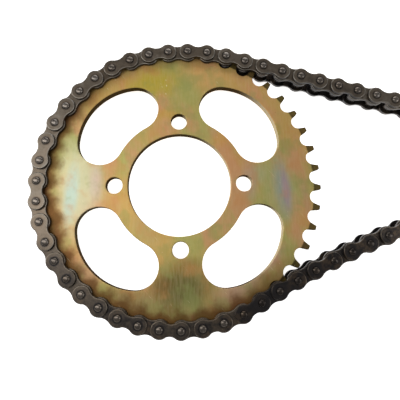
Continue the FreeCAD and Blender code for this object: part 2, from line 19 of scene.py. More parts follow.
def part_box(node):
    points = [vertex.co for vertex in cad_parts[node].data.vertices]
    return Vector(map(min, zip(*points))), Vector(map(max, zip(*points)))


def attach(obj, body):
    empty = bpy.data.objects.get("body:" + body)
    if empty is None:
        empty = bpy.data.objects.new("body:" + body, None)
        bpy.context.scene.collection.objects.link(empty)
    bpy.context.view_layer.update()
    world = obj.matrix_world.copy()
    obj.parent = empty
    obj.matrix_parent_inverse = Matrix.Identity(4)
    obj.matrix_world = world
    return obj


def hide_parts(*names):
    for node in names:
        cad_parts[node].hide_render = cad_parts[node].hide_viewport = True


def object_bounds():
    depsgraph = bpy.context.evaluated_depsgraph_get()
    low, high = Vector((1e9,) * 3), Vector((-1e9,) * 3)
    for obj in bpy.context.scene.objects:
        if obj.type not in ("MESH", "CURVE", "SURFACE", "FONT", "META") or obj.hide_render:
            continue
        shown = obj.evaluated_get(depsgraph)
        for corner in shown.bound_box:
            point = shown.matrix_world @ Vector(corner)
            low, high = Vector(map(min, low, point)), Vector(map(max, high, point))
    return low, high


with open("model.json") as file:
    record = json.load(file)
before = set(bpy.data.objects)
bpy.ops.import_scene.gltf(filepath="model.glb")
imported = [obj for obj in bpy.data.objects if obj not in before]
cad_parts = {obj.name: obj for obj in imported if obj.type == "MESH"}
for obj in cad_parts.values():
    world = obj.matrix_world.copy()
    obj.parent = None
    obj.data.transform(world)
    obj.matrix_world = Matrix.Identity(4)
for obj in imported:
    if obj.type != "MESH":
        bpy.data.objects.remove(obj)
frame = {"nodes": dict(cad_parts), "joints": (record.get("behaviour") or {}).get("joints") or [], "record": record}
CAD_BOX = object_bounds()
LOG = logging.getLogger("drive_chain")
MM = 0.001
PIN_TOLERANCE = 0.02 * MM

Pair = tuple[float, float]
Point = tuple[float, float, float]
Colour = tuple[float, float, float]
Profile = list[Pair]


# --- shader expressions

class Value:
    """A shader socket that takes Python arithmetic; each operation adds a Math node."""

    def __init__(self, shader: "Shader", socket: bpy.types.NodeSocket) -> None:
        """Wrap one output socket.

        Args:
            shader: The material under construction.
            socket: The output that this value stands for.
        """
        self.shader = shader
        self.socket = socket

    def _math(self, operation: str, first: "Value | float", second: "Value | float") -> "Value":
        """Return one Math node's result."""
        return self.shader.node("ShaderNodeMath", {"operation": operation}, {0: first, 1: second})

    def __add__(self, other: "Value | float") -> "Value":
        """Return self + other."""
        return self._math("ADD", self, other)

    def __radd__(self, other: float) -> "Value":
        """Return other + self."""
        return self._math("ADD", other, self)

    def __sub__(self, other: "Value | float") -> "Value":
        """Return self - other."""
        return self._math("SUBTRACT", self, other)

    def __rsub__(self, other: float) -> "Value":
        """Return other - self."""
        return self._math("SUBTRACT", other, self)

    def __mul__(self, other: "Value | float") -> "Value":
        """Return self * other."""
        return self._math("MULTIPLY", self, other)

    def __rmul__(self, other: float) -> "Value":
        """Return other * self."""
        return self._math("MULTIPLY", other, self)

    def __truediv__(self, other: "Value | float") -> "Value":
        """Return self / other."""
        return self._math("DIVIDE", self, other)

    def __rtruediv__(self, other: float) -> "Value":
        """Return other / self."""
        return self._math("DIVIDE", other, self)

    def ramp(self, low: float, high: float) -> "Value":
        """Ramp the value, smooth between its two ends.

        Args:
            low: Where the result starts to rise from 0.
            high: Where it reaches 1; below low, the ramp runs the other way.

        Returns:
            The ramped value.
        """
        settings = {"interpolation_type": "SMOOTHSTEP"}
        inputs = {"Value": self, "From Min": low, "From Max": high, "To Min": 0.0, "To Max": 1.0}
        return self.shader.node("ShaderNodeMapRange", settings, inputs)


class Shader:
    """One material with a Principled shader, built from expressions."""

    def __init__(self, name: str) -> None:
        """Start an empty material.

        Args:
            name: The material's name.
        """
        self.material = bpy.data.materials.new(name)
        self.material.use_nodes = True
        self.tree = self.material.node_tree
        self.tree.nodes.clear()
        self.surface = self.tree.nodes.new("ShaderNodeBsdfPrincipled")
        output = self.tree.nodes.new("ShaderNodeOutputMaterial")
        self.tree.links.new(self.surface.outputs["BSDF"], output.inputs["Surface"])

    def node(self, kind: str, settings: dict | None = None, inputs: dict | None = None,
             output: int | str = 0) -> Value:
        """Add any node.

        Args:
            kind: The node's type name.
            settings: Properties to set first; "stops" fills a colour ramp.
            inputs: Values or links for the node's sockets, by name or index.
            output: The output to return.

        Returns:
            The chosen output as a value.
        """
        made = self.tree.nodes.new(kind)
        for key, value in (settings or {}).items():
            if key == "stops":
                self._fill_ramp(made.color_ramp, value)
            else:
                setattr(made, key, value)
        for key, value in (inputs or {}).items():
            self.plug(made.inputs[key], value)
        return Value(self, made.outputs[output])

    @staticmethod
    def _fill_ramp(ramp: bpy.types.ColorRamp, stops: list[tuple[float, Colour]]) -> None:
        """Set a colour ramp's stops.

        Args:
            ramp: The ramp to fill.
            stops: Place and colour of each stop.
        """
        while len(ramp.elements) < len(stops):
            ramp.elements.new(0.5)
        for element, (place, colour) in zip(ramp.elements, stops):
            element.position = place
            element.color = (*colour, 1.0)

    def plug(self, socket: bpy.types.NodeSocket, value: "Value | float | tuple") -> None:
        """Link a value to a socket, or set its constant.

        Args:
            socket: The input socket.
            value: A value to link, or a number, colour or vector to set.
        """
        if isinstance(value, Value):
            self.tree.links.new(value.socket, socket)
        elif isinstance(value, tuple) and socket.type == "RGBA":
            socket.default_value = (*value[:3], 1.0)
        else:
            socket.default_value = value

    def place(self, centre: Point = (0.0, 0.0, 0.0), turn: float = 0.0,
              stretch: Point = (1.0, 1.0, 1.0)) -> Value:
        """Take Object coordinates to a pattern's own centre, turn and scale.

        Args:
            centre: The pattern's centre, in metres.
            turn: Its turn about Z, in radians.
            stretch: Scale along each turned axis.

        Returns:
            The coordinates.
        """
        coordinates = self.node("ShaderNodeTexCoord", output="Object")
        moved = self.node("ShaderNodeMapping", {"vector_type": "TEXTURE"},
                          {"Vector": coordinates, "Location": centre, "Rotation": (0.0, 0.0, turn)})
        return self.node("ShaderNodeMapping", None, {"Vector": moved, "Scale": stretch})

    def part(self, where: Value, axis: str) -> Value:
        """Return a place's X, Y or Z."""
        return self.node("ShaderNodeSeparateXYZ", None, {0: where}, axis)

    def stored(self, name: str) -> Value:
        """Return a number stored on the mesh."""
        return self.node("ShaderNodeAttribute", {"attribute_name": name}, None, "Fac")

    def noise(self, where: Value, scale: float, detail: float = 3.0, rough: float = 0.5) -> Value:
        """Return a noise value, about 0.5 on average."""
        inputs = {"Vector": where, "Scale": scale, "Detail": detail, "Roughness": rough}
        return self.node("ShaderNodeTexNoise", None, inputs, "Fac")

    def spots(self, where: Value, scale: float, low: float, high: float) -> Value:
        """Return 1 inside scattered round spots and 0 outside them."""
        inputs = {"Vector": where, "Scale": scale}
        return 1.0 - self.node("ShaderNodeTexVoronoi", None, inputs, "Distance").ramp(low, high)

    def radius(self, where: Value) -> Value:
        """Measure how far a place is from the Z axis.

        Args:
            where: The place.

        Returns:
            The distance.
        """
        inputs = {0: where, 1: (1.0, 1.0, 0.0)}
        flat = self.node("ShaderNodeVectorMath", {"operation": "MULTIPLY"}, inputs)
        return self.node("ShaderNodeVectorMath", {"operation": "LENGTH"}, {0: flat}, "Value")

    def colours(self, factor: Value, stops: list[tuple[float, Colour]]) -> Value:
        """Return a colour ramp's colour."""
        return self.node("ShaderNodeValToRGB", {"stops": stops}, {"Fac": factor}, "Color")

    def mix(self, factor: "Value | float", first: "Value | Colour",
            second: "Value | Colour") -> Value:
        """Return a mix of two colours."""
        inputs = {0: factor, 6: first, 7: second}
        return self.node("ShaderNodeMix", {"data_type": "RGBA"}, inputs, 2)

    def bump(self, height: Value, depth: float, strength: float) -> Value:
        """Return a bumped normal from a height in shares of depth."""
        return self.node("ShaderNodeBump", None,
                         {"Height": height, "Distance": depth, "Strength": strength}, "Normal")

    def finish(self, **sockets: "Value | float | tuple") -> bpy.types.Material:
        """Feed the shader's sockets.

        Args:
            **sockets: Values by socket name, underscores standing for spaces.

        Returns:
            The finished material.
        """
        for name, value in sockets.items():
            self.plug(self.surface.inputs[name.replace("_", " ")], value)
        return self.material


# --- finishes

@dataclass(frozen=True)
class Tint:
    """A soft patch of colour on the plating, mostly where its film changes colour, a few painted reflection and
    painted shade; centre and reach are in mm.
    """

    centre: Pair
    reach: Pair
    colour: Colour
    strength: float
    turn: float = 0.0


@dataclass(frozen=True)
class YellowZinc:
    """Yellow-passivated zinc plating on a flat blanked plate."""

    name: str = "yellow_zinc"
    base: Colour = (0.42, 0.265, 0.078)
    green: Colour = (0.31, 0.29, 0.085)
    rose: Colour = (0.47, 0.22, 0.115)
    orange: Colour = (0.44, 0.20, 0.07)
    moss: Colour = (0.22, 0.25, 0.08)
    worn_grain: Colour = (0.62, 0.50, 0.28)
    tooth_olive: Colour = (0.040, 0.028, 0.008)
    # A brown band beside the chain, partly a chain stain and partly the chain's painted shadow.
    chain_stain: Colour = (0.085, 0.034, 0.010)
    # Walls of the windows and holes: painted shade, with a painted highlight where they face left, towards the
    # left softbox.
    wall_painted_shade: Colour = (0.022, 0.012, 0.005)
    wall_painted_highlight: Colour = (0.50, 0.42, 0.27)
    pit: Colour = (0.06, 0.045, 0.025)
    speck: Colour = (0.78, 0.72, 0.55)
    nick: Colour = (0.80, 0.74, 0.50)
    scratch: Colour = (0.72, 0.62, 0.40)
    metallic: float = 0.86
    teeth: int = 43
    tooth_start: float = 84.9 * MM
    tooth_blend: float = 1.2 * MM
    # Where the band beside the chain runs, scalloped at each tooth and fading out towards the top right.
    stain_and_shadow_start: float = 71.8 * MM
    stain_and_shadow_end: float = 80.6 * MM
    scallop: float = 1.2 * MM
    band_fade_corner: Point = (50.0 * MM, 50.0 * MM, 0.0)
    band_fade_start: float = 85.0 * MM
    band_fade_end: float = 125.0 * MM
    wall_level: float = 2.9 * MM
    face_level: float = 3.25 * MM
    nicked_patch: Tint = Tint((-11.0, 63.0), (7.0, 9.0), (1.0, 1.0, 1.0), 1.0)
    tints: tuple[Tint, ...] = (
        Tint((64, -4), (12, 26), (0.29, 0.31, 0.14), 0.7, 6),
        Tint((65, -3), (6.5, 21), (0.21, 0.26, 0.24), 0.8, 6),
        Tint((67, -4), (3.4, 17), (0.31, 0.205, 0.25), 0.75, 6),
        Tint((50, 6), (6, 8), (0.30, 0.32, 0.17), 0.6, 6),
        Tint((80, -14), (3, 20), (0.40, 0.20, 0.13), 0.5, 8),
        Tint((40, -34), (11, 8), (0.34, 0.24, 0.21), 0.6, 30),
        # Pale patch on the left: a painted reflection.
        Tint((-62, -2), (16, 36), (0.45, 0.46, 0.31), 0.8),
        # The film's own colours.
        Tint((-67, -6), (5, 20), (0.33, 0.46, 0.42), 0.75, -6),
        Tint((-52, 2), (5, 14), (0.46, 0.36, 0.34), 0.55),
        Tint((-54, -50), (12, 20), (0.50, 0.29, 0.16), 0.7, -45),
        # Dark patches towards the bottom: painted shade.
        Tint((-26, -70), (22, 9), (0.20, 0.15, 0.060), 0.8, -22),
        Tint((0, -64), (22, 17), (0.085, 0.085, 0.026), 0.9),
        Tint((4, -50), (10, 6), (0.20, 0.12, 0.03), 0.6),
        Tint((-12, -62), (8, 6), (0.13, 0.065, 0.016), 0.6, 20),
        Tint((24, -74), (14, 6), (0.24, 0.13, 0.05), 0.6, 20),
        # The film's own colours.
        Tint((-18, 66), (20, 12), (0.36, 0.28, 0.028), 0.9, 10),
        Tint((20, 72), (18, 9), (0.52, 0.29, 0.10), 0.7, -15),
        Tint((-6, 46), (14, 5), (0.42, 0.27, 0.04), 0.6),
        Tint((36, -62), (18, 10), (0.34, 0.22, 0.17), 0.7, 35),
        Tint((54, -48), (14, 6), (0.38, 0.24, 0.20), 0.6, 45),
        Tint((-22, -28), (12, 6), (0.33, 0.24, 0.10), 0.5, -45),
        Tint((44, 2), (6, 16), (0.38, 0.25, 0.20), 0.6),
        Tint((28, 30), (10, 6), (0.48, 0.26, 0.06), 0.6, 45),
    )

    def build(self) -> bpy.types.Material:
        """Build the plating.

        Returns:
            The material.
        """
        shader = Shader(self.name)
        where = shader.place()
        cloudy = shader.noise(shader.place(turn=0.4, stretch=(1.0, 0.45, 1.0)), 46.0, 4.0, 0.6)
        grain = shader.noise(shader.place(stretch=(1.0, 0.14, 1.0)), 900.0, 3.0, 0.6)
        scuffs_and_shading = shader.noise(where, 260.0, 5.0, 0.65)
        blotch = shader.noise(shader.place(turn=0.9), 70.0, 3.0, 0.55)
        colour = self._film_and_painted_light(shader, where, cloudy, grain, blotch)
        # The brown band beside the chain: partly stain, partly painted shadow.
        stain_and_shadow_mask = self._stain_and_shadow_mask(shader, where, scuffs_and_shading, blotch)
        colour = shader.mix(stain_and_shadow_mask * 0.85, colour, self.chain_stain)
        radius = shader.radius(where)
        tooth = (radius + scuffs_and_shading * self.tooth_blend).ramp(self.tooth_start,
                                                       self.tooth_start + self.tooth_blend)
        colour = shader.mix(tooth * 0.88, colour, self.tooth_olive)
        level = shader.part(where, "Z")
        # The walls are painted dark as painted shade, lightened to a painted highlight where they face the left
        # softbox.
        wall = 1.0 - (level * level).ramp(self.wall_level ** 2, self.face_level ** 2)
        rim = shader.mix(shader.stored("facing").ramp(0.3, 0.95), self.wall_painted_shade, self.wall_painted_highlight)
        colour = shader.mix(wall * (1.0 - tooth) * 0.95, colour, rim)
        pits = shader.spots(where, 150.0, 0.02, 0.06) * scuffs_and_shading.ramp(0.52, 0.6)
        specks = shader.spots(shader.place(turn=1.1), 330.0, 0.03, 0.10) * scuffs_and_shading.ramp(0.58, 0.66)
        nicks = shader.spots(shader.place(turn=0.3, stretch=(1.0, 0.5, 1.0)), 520.0, 0.10, 0.22)
        nicks = nicks * self._patch(shader, self.nicked_patch, cloudy) * blotch.ramp(0.4, 0.6)
        scratches = shader.noise(shader.place(turn=0.7, stretch=(1.0, 0.03, 1.0)), 1500.0, 1.0)
        lines = scratches.ramp(0.70, 0.76) * scuffs_and_shading.ramp(0.5, 0.62)
        for mark, tint in ((pits * 0.75, self.pit), (specks * 0.5, self.speck),
                           (nicks * 0.8, self.nick), (lines * 0.35, self.scratch)):
            colour = shader.mix(mark, colour, tint)
        height = grain * 0.5 + scuffs_and_shading * 0.5 - pits * 1.5 - lines * 0.4
        rough = 0.36 + scuffs_and_shading * 0.14 + tooth * 0.1 + cloudy * 0.08 + wall * 0.2
        return shader.finish(Base_Color=colour, Roughness=rough,
                             Metallic=self.metallic * (1.0 - wall), Specular_IOR_Level=0.0,
                             Normal=shader.bump(height, 0.04 * MM, 0.5))

    def _film_and_painted_light(self, shader: Shader, where: Value, cloudy: Value, grain: Value,
              blotch: Value) -> Value:
        """Colour the plating's film, with a painted reflection on the left and painted shade towards the bottom.
            where: Object coordinates.
            cloudy: Broad noise.
            grain: Noise along the rolling direction.
            blotch: Middling noise.

        Returns:
            The colour.
        """
        colour = shader.mix(shader.noise(where, 24.0, 2.0).ramp(0.38, 0.62), self.base, self.green)
        colour = shader.mix(cloudy.ramp(0.45, 0.66) * 0.75, colour, self.rose)
        for tint in self.tints:
            colour = shader.mix(self._patch(shader, tint, cloudy), colour, tint.colour)
        colour = shader.mix(grain.ramp(0.2, 0.8) * 0.16, colour, self.worn_grain)
        colour = shader.mix(blotch.ramp(0.52, 0.68) * 0.34, colour, self.orange)
        return shader.mix(blotch.ramp(0.48, 0.34) * 0.4, colour, self.moss)

    def _stain_and_shadow_mask(self, shader: Shader, where: Value, scuffs_and_shading: Value, blotch: Value) -> Value:
        """Mark the brown band beside the chain, partly a stain and partly the chain's painted shadow, with a
        scallop at every tooth.

        Args:
            shader: The material under construction.
            where: Object coordinates.
            scuffs_and_shading: Fine noise.
            blotch: Middling noise.

        Returns:
            1 in the band and 0 outside it.
        """
        settings = {"operation": "ARCTAN2"}
        angle = shader.node("ShaderNodeMath", settings,
                            {0: shader.part(where, "Y"), 1: shader.part(where, "X")})
        wave = shader.node("ShaderNodeMath", {"operation": "SINE"}, {0: angle * self.teeth})
        edge = shader.radius(where) + (scuffs_and_shading - 0.5) * (5.0 * MM) + (blotch - 0.5) * (12.0 * MM)
        corner = shader.radius(shader.place(self.band_fade_corner))
        return ((edge + wave * self.scallop).ramp(self.stain_and_shadow_start, self.stain_and_shadow_end)
                * corner.ramp(self.band_fade_start, self.band_fade_end))

    @staticmethod
    def _patch(shader: Shader, tint: Tint, wobble: Value) -> Value:
        """Mark where one tint shows.

        Args:
            shader: The material under construction.
            tint: The tint.
            wobble: Noise that frays its edge.

        Returns:
            The tint's strength, falling to 0 past its reach.
        """
        centre = (tint.centre[0] * MM, tint.centre[1] * MM, 0.0)
        reach = (1.0 / (tint.reach[0] * MM), 1.0 / (tint.reach[1] * MM), 0.0)
        near = shader.place(centre, math.radians(tint.turn), reach)
        return (1.0 - (shader.radius(near) + (wobble - 0.5) * 0.9).ramp(0.25, 1.25)) * tint.strength


@dataclass(frozen=True)
class OiledSteel:
    """Blued chain steel under a thin film of oil, its tone stored link by link, with painted light and shade."""

    name: str
    dark: Colour = (0.018, 0.016, 0.016)
    middle: Colour = (0.098, 0.078, 0.058)
    light: Colour = (0.23, 0.215, 0.19)
    brown: Colour = (0.085, 0.058, 0.036)
    roughness: float = 0.34
    metallic: float = 0.85
    seed_turn: float = 0.0
    # Painted shade: the steel darkens towards the bottom, along negative Y.
    bottom_shade: float = 0.36
    bottom_shade_start: float = -85.0 * MM
    bottom_shade_end: float = -20.0 * MM
    # How far the stored edge values lighten and darken the steel: painted highlight and painted shade.
    sheen_and_shade_reach: float = 0.50

    def build(self) -> bpy.types.Material:
        """Build the oiled steel.

        Returns:
            The material.
        """
        shader = Shader(self.name)
        where = shader.place(turn=self.seed_turn)
        mottled = shader.noise(where, 330.0, 5.0, 0.62)
        broad = shader.noise(where, 60.0, 2.0)
        fine = shader.noise(where, 2600.0, 3.0, 0.6)
        # Painted shade, darker towards the bottom.
        bottom_shaded = 1.0 - shader.part(shader.place(), "Y").ramp(self.bottom_shade_start, self.bottom_shade_end)
        # The stored tone holds each region's painted shade; the stored edge values add a painted highlight on
        # rolled edges and painted shade on sides and round holes.
        shade = shader.stored("tone") - bottom_shaded * self.bottom_shade + shader.stored("wear") * self.sheen_and_shade_reach
        shade = shade + (mottled - 0.5) * 0.7 + (broad - 0.5) * 0.25 + (fine - 0.5) * 0.35
        colour = shader.colours(shade, [(0.0, self.dark), (0.5, self.middle), (1.0, self.light)])
        film = broad.ramp(0.42, 0.62) * mottled.ramp(0.4, 0.62)
        colour = shader.mix(film * 0.55, colour, self.brown)
        nicks = shader.spots(where, 700.0, 0.05, 0.12) * mottled.ramp(0.54, 0.62)
        colour = shader.mix(nicks * 0.5, colour, self.light)
        height = fine * 0.35 + mottled * 0.65 - nicks * 0.8
        rough = self.roughness + (mottled - 0.5) * 0.3 + film * -0.08
        return shader.finish(Base_Color=colour, Roughness=rough, Metallic=self.metallic,
                             Normal=shader.bump(height, 0.03 * MM, 0.55))


@dataclass(frozen=True)
class TemperedSteel:
    """Hardened steel of the front sprocket, dark with a blue temper on its teeth."""

    name: str
    centre: Pair
    base: Colour = (0.12, 0.115, 0.11)
    temper: Colour = (0.035, 0.039, 0.052)
    straw: Colour = (0.16, 0.11, 0.06)
    scale: Colour = (0.055, 0.05, 0.048)
    temper_start: float = 21.0 * MM
    temper_end: float = 27.0 * MM

    def build(self) -> bpy.types.Material:
        """Build the tempered steel.

        Returns:
            The material.
        """
        shader = Shader(self.name)
        where = shader.place((self.centre[0], self.centre[1], 0.0))
        radius = shader.radius(where)
        mottled = shader.noise(where, 260.0, 5.0, 0.6)
        inputs = {"Vector": where, "Scale": 900.0, "Distortion": 1.5, "Detail": 2.0}
        turned = shader.node("ShaderNodeTexWave", {"wave_type": "RINGS", "rings_direction": "Z"},
                             inputs, "Fac")
        heat = radius + (mottled - 0.5) * (6.0 * MM)
        heat = heat.ramp(self.temper_start, self.temper_end)
        straw = heat * (1.0 - heat) * 3.0
        colour = shader.mix(mottled.ramp(0.3, 0.7) * 0.5, self.base, self.scale)
        colour = shader.mix(heat, colour, self.temper)
        colour = shader.mix(straw, colour, self.straw)
        rough = 0.3 + mottled * 0.2 + turned * 0.08
        height = turned * 0.4 + mottled * 0.6
        return shader.finish(Base_Color=colour, Roughness=rough, Metallic=0.9,
                             Normal=shader.bump(height, 0.03 * MM, 0.5))


@dataclass(frozen=True)
class SpringSteel:
    """Bright strip steel of the spring clip, with fine lines along the strip."""

    name: str = "spring_steel"
    base: Colour = (0.40, 0.38, 0.35)
    line: Colour = (0.22, 0.205, 0.185)
    stain: Colour = (0.14, 0.10, 0.065)

    def build(self) -> bpy.types.Material:
        """Build the spring steel.

        Returns:
            The material.
        """
        shader = Shader(self.name)
        where = shader.place()
        lines = shader.noise(shader.place(turn=0.5, stretch=(0.05, 1.0, 1.0)), 2200.0, 3.0)
        mottled = shader.noise(where, 300.0, 4.0)
        colour = shader.mix(lines.ramp(0.3, 0.7) * 0.5, self.base, self.line)
        colour = shader.mix(mottled.ramp(0.55, 0.7) * 0.5, colour, self.stain)
        return shader.finish(Base_Color=colour, Roughness=0.24 + mottled * 0.16, Metallic=0.95,
                             Normal=shader.bump(lines, 0.02 * MM, 0.4))


# --- meshes

def linked(name: str, data: bpy.types.ID) -> bpy.types.Object:
    """Add an object to the scene.

    Args:
        name: Name of the object.
        data: Its mesh, light or camera.

    Returns:
        The new object.
    """
    made = bpy.data.objects.new(name, data)
    bpy.context.scene.collection.objects.link(made)
    return made


def store(mesh: bpy.types.Mesh, name: str, values: list[float]) -> None:
    """Store a number for each vertex of a mesh."""
    mesh.attributes.new(name, "FLOAT", "POINT").data.foreach_set("value", values)


def new_object(name: str, vertices: list[Point],
               faces: list[tuple[int, ...]], wear: list[float] | None = None) -> bpy.types.Object:
    """Make a linked mesh object with faces turned outwards.

    Args:
        name: Name of the object and its mesh.
        vertices: Places in metres.
        faces: Vertex numbers of each face.
        wear: Painted light of each vertex, from painted highlight (up to 1) to painted shade (down to -1).

    Returns:
        The new object.
    """
    mesh = bpy.data.meshes.new(name)
    mesh.from_pydata(vertices, [], faces)
    work = bmesh.new()
    work.from_mesh(mesh)
    bmesh.ops.recalc_face_normals(work, faces=work.faces)
    work.to_mesh(mesh)
    work.free()
    if wear:
        store(mesh, "wear", wear)
    return linked(name, mesh)


def plain(source: bpy.types.Object, name: str) -> bpy.types.Object:
    """Turn an object's evaluated shape into a plain mesh object.

    Args:
        source: The object with its modifiers.
        name: Name of the result.

    Returns:
        A new object with no modifiers; the source is removed.
    """
    source.name = name + "_source"
    graph = bpy.context.evaluated_depsgraph_get()
    mesh = bpy.data.meshes.new_from_object(source.evaluated_get(graph), depsgraph=graph)
    mesh.name = name
    source.modifiers.clear()
    bpy.data.objects.remove(source)
    return linked(name, mesh)


def shaded(source: bpy.types.Object, crease: float = 38.0, lead: int = 100) -> bpy.types.Object:
    """Shade an object smooth, with creases, and with normals led by its largest faces.

    Args:
        source: The object; it is replaced by the result.
        crease: Edges sharper than this many degrees stay sharp.
        lead: How far the largest faces lead; 50 is evenly.

    Returns:
        The shaded object, a plain mesh.
    """
    source.data.shade_smooth()
    source.data.set_sharp_from_angle(angle=math.radians(crease))
    weighting = source.modifiers.new("Weighting", "WEIGHTED_NORMAL")
    weighting.weight = lead
    weighting.keep_sharp = True
    return plain(source, source.name)


def turned(name: str, profile: Profile, sides: int, closed: bool) -> bpy.types.Object:
    """Revolve a profile of radius and height about Z.

    Args:
        name: Name of the object.
        profile: Radius and height of each ring, in metres; radius 0 makes a pole.
        sides: Faces round the axis.
        closed: Whether the last ring joins the first one.

    Returns:
        The new object.
    """
    vertices: list[Point] = []
    rings: list[list[int]] = []
    for radius, height in profile:
        first = len(vertices)
        if radius == 0.0:
            vertices.append((0.0, 0.0, height))
            rings.append([first] * sides)
            continue
        for side in range(sides):
            angle = 2 * math.pi * side / sides
            vertices.append((radius * math.cos(angle), radius * math.sin(angle), height))
        rings.append(list(range(first, first + sides)))
    pairs = list(zip(rings, rings[1:]))
    if closed:
        pairs.append((rings[-1], rings[0]))
    faces = []
    for upper, lower in pairs:
        for side in range(sides):
            after = (side + 1) % sides
            corners = (upper[side], upper[after], lower[after], lower[side])
            faces.append(tuple(dict.fromkeys(corners)))
    return new_object(name, vertices, faces)


# --- pieces of a link

@dataclass
class PlateShape:
    """A blanked figure-eight plate with a hole at each end, from z = 0 up."""

    name: str
    pitch: float
    height: float
    waist: float
    thickness: float
    hole: float
    roll: float = 0.45 * MM
    rim: float = 0.30 * MM
    burr: float = 0.12 * MM
    # Width of the painted shade ring round each hole, where the pin or bush meets the plate.
    hole_shade_width: float = 0.95 * MM
    # Painted light down the rolled edge, from its top: painted highlight, then painted shade down the side.
    roll_sheen_and_shade: tuple[float, ...] = (0.45, 0.85, -0.5, -1.0)
    end_steps: int = 20
    waist_steps: int = 7
    roll_steps: int = 3
    hole_steps: int = 20

    def outline(self) -> list[tuple[Vector, Vector]]:
        """Walk once round the plate.

        Returns:
            Each point with its outward direction.
        """
        half, end, waist = self.pitch / 2, self.height / 2, self.waist / 2
        blend = (half ** 2 + waist ** 2 - end ** 2) / (2 * (end - waist))
        lean = math.atan2(waist + blend, half)
        points = []
        for side in (1, -1):
            for index in range(self.end_steps):
                angle = -math.pi + lean + (2 * math.pi - 2 * lean) * index / self.end_steps
                out = Vector((math.cos(angle), math.sin(angle)))
                points.append(((Vector((half, 0)) + end * out) * side, out * side))
            for index in range(self.waist_steps):
                angle = -lean - (math.pi - 2 * lean) * index / self.waist_steps
                out = Vector((math.cos(angle), math.sin(angle)))
                points.append(((Vector((0, waist + blend)) + blend * out) * side, out * -side))
        return points

    def edge_rows(self) -> list[Point]:
        """Section the plate's edge, from the outer face down.

        Returns:
            Inset, height and painted light of each row: painted highlight on the rolled edge, painted shade down
            the side.
        """
        rows = [(self.roll + self.rim, self.thickness, 0.0)]
        for index in range(self.roll_steps + 1):
            angle = math.pi / 2 * index / self.roll_steps
            inset = self.roll * (1 - math.sin(angle))
            wear = self.roll_sheen_and_shade[index]
            rows.append((inset, self.thickness - self.roll * (1 - math.cos(angle)), wear))
        # Painted shade at the foot of the side and on the burr.
        return rows + [(0.0, self.burr, -0.9), (self.burr, 0.0, -0.9)]

    def hole_rows(self) -> list[Point]:
        """Section a hole's edge, from the outer face down.

        Returns:
            Radius, height and painted shade of each row, darkest at the hole.
        """
        return [(self.hole + self.hole_shade_width, self.thickness, 0.0),
                (self.hole + self.hole_shade_width * 0.55, self.thickness, -0.45),
                (self.hole + self.burr, self.thickness, -1.0),
                (self.hole, self.thickness - self.burr, -1.0), (self.hole, 0.0, -1.0)]

    def build(self) -> bpy.types.Object:
        """Build the plate.

        Returns:
            The plate, a plain mesh object.
        """
        vertices: list[Point] = []
        wear: list[float] = []
        outline = self.outline()
        walls = [[self._loop(vertices, wear, [p - n * inset for p, n in outline], height, scuffs_and_shading)
                  for inset, height, scuffs_and_shading in self.edge_rows()]]
        angles = [2 * math.pi * index / self.hole_steps for index in range(self.hole_steps)]
        ring = [Vector((math.cos(angle), math.sin(angle))) for angle in angles]
        for side in (1, -1):
            centre = Vector((self.pitch / 2 * side, 0))
            walls.append([
                self._loop(vertices, wear, [centre + r * radius for r in ring], height, scuffs_and_shading)
                for radius, height, scuffs_and_shading in self.hole_rows()])
        faces: list[tuple[int, ...]] = []
        for wall in walls:
            for upper, lower in zip(wall, wall[1:]):
                for index, first in enumerate(upper):
                    after = (index + 1) % len(upper)
                    faces.append((first, upper[after], lower[after], lower[index]))
        for row in (0, -1):
            loops = [wall[row] for wall in walls]
            places = [[Vector(vertices[i]) for i in loop] for loop in loops]
            numbers = [i for loop in loops for i in loop]
            faces.extend(tuple(numbers[i] for i in face) for face in tessellate_polygon(places))
        return new_object(self.name, vertices, faces, wear)

    @staticmethod
    def _loop(vertices: list, wear: list, points: list[Vector], height: float,
              scuffs_and_shading: float) -> list[int]:
        """Add one loop of points.

        Args:
            vertices: The plate's vertices, added to.
            wear: Their painted light, added to.
            points: The loop in plan.
            height: Its height.
            scuffs_and_shading: Its painted light, above 0 a highlight and below 0 shade.

        Returns:
            Numbers of the new vertices.
        """
        first = len(vertices)
        vertices.extend((p.x, p.y, height) for p in points)
        wear.extend([scuffs_and_shading] * len(points))
        return list(range(first, len(vertices)))


